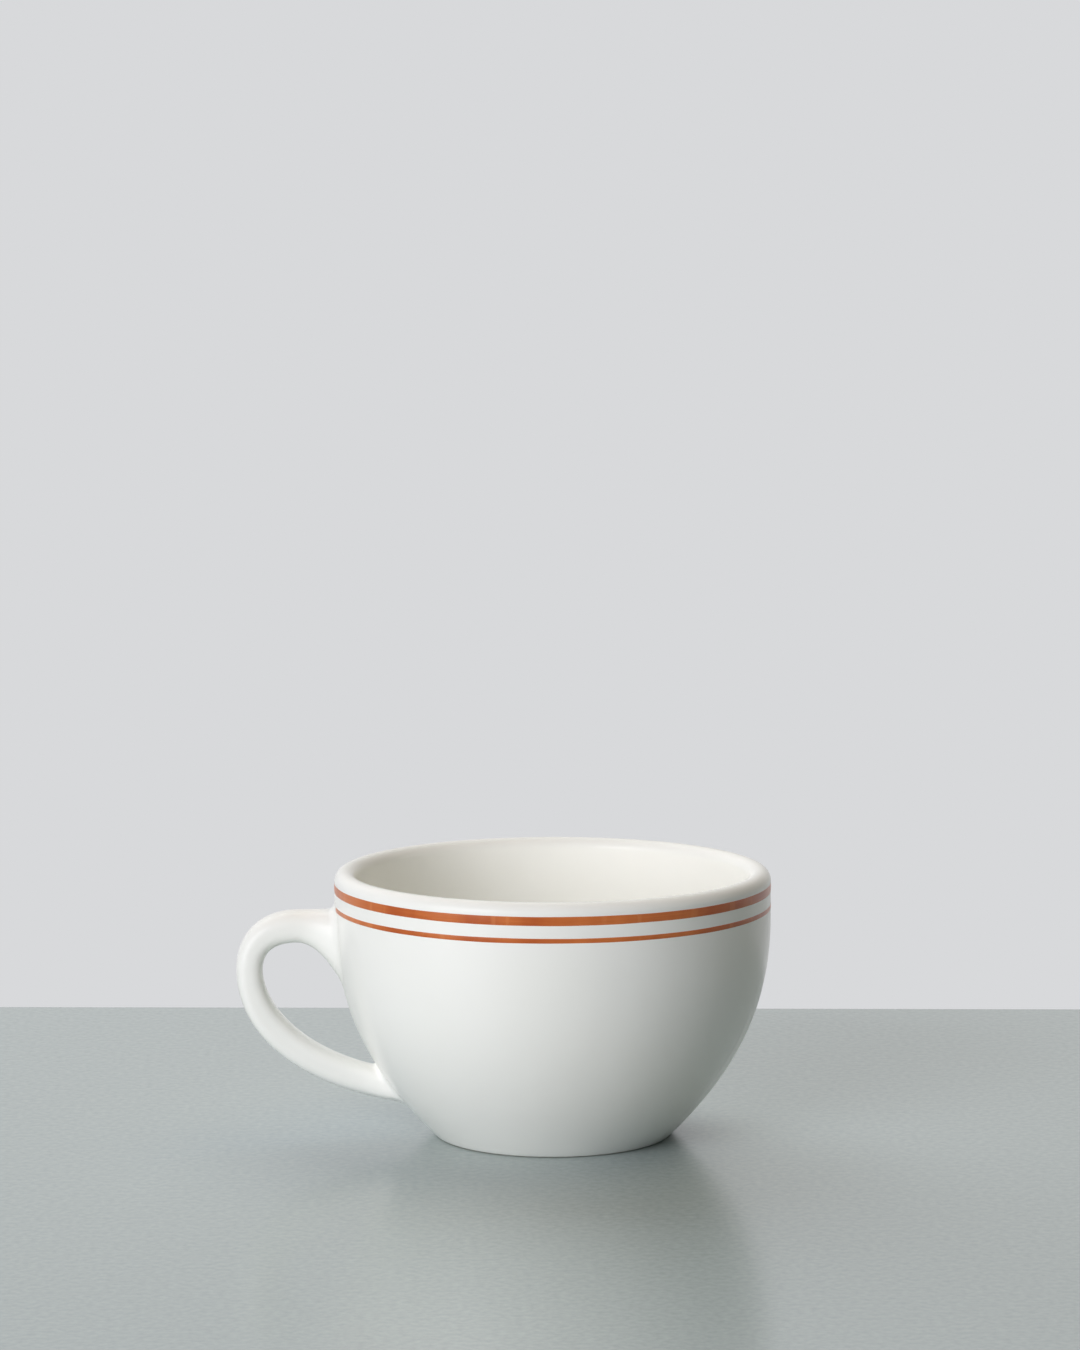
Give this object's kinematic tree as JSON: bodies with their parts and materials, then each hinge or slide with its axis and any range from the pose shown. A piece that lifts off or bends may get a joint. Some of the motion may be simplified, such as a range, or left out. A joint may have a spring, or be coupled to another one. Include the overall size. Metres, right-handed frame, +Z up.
{
  "type": "coffee cup",
  "caption": "Low bowl-shaped thick-walled coffee cup with a rolled lip, colour bands under the rim, a foot ring and a flared loop handle luted to the wall.",
  "frame": {"origin": "on the table, under the middle of the cup's length from the handle's bow to the far side of the rim", "axes": "+Z up along the bowl's axis, +X from the handle across the bowl, so the handle points along -X; the cup is the same on both sides of the XZ plane"},
  "size_m": [0.1227, 0.1002, 0.0615],
  "materials": {
    "white_glaze": "clear gloss glaze over a warm white body",
    "joint_slip": "fired slip under the same clear gloss glaze",
    "rust_enamel": "hand-laid rust-orange line, glossy, slightly uneven in depth of colour"
  },
  "bodies": {
    "root": {"bowl": "white_glaze", "handle": "white_glaze", "upper_slip_joint": "joint_slip", "lower_slip_joint": "joint_slip", "broad_band": "rust_enamel", "narrow_band": "rust_enamel"}
  },
  "joints": []
}
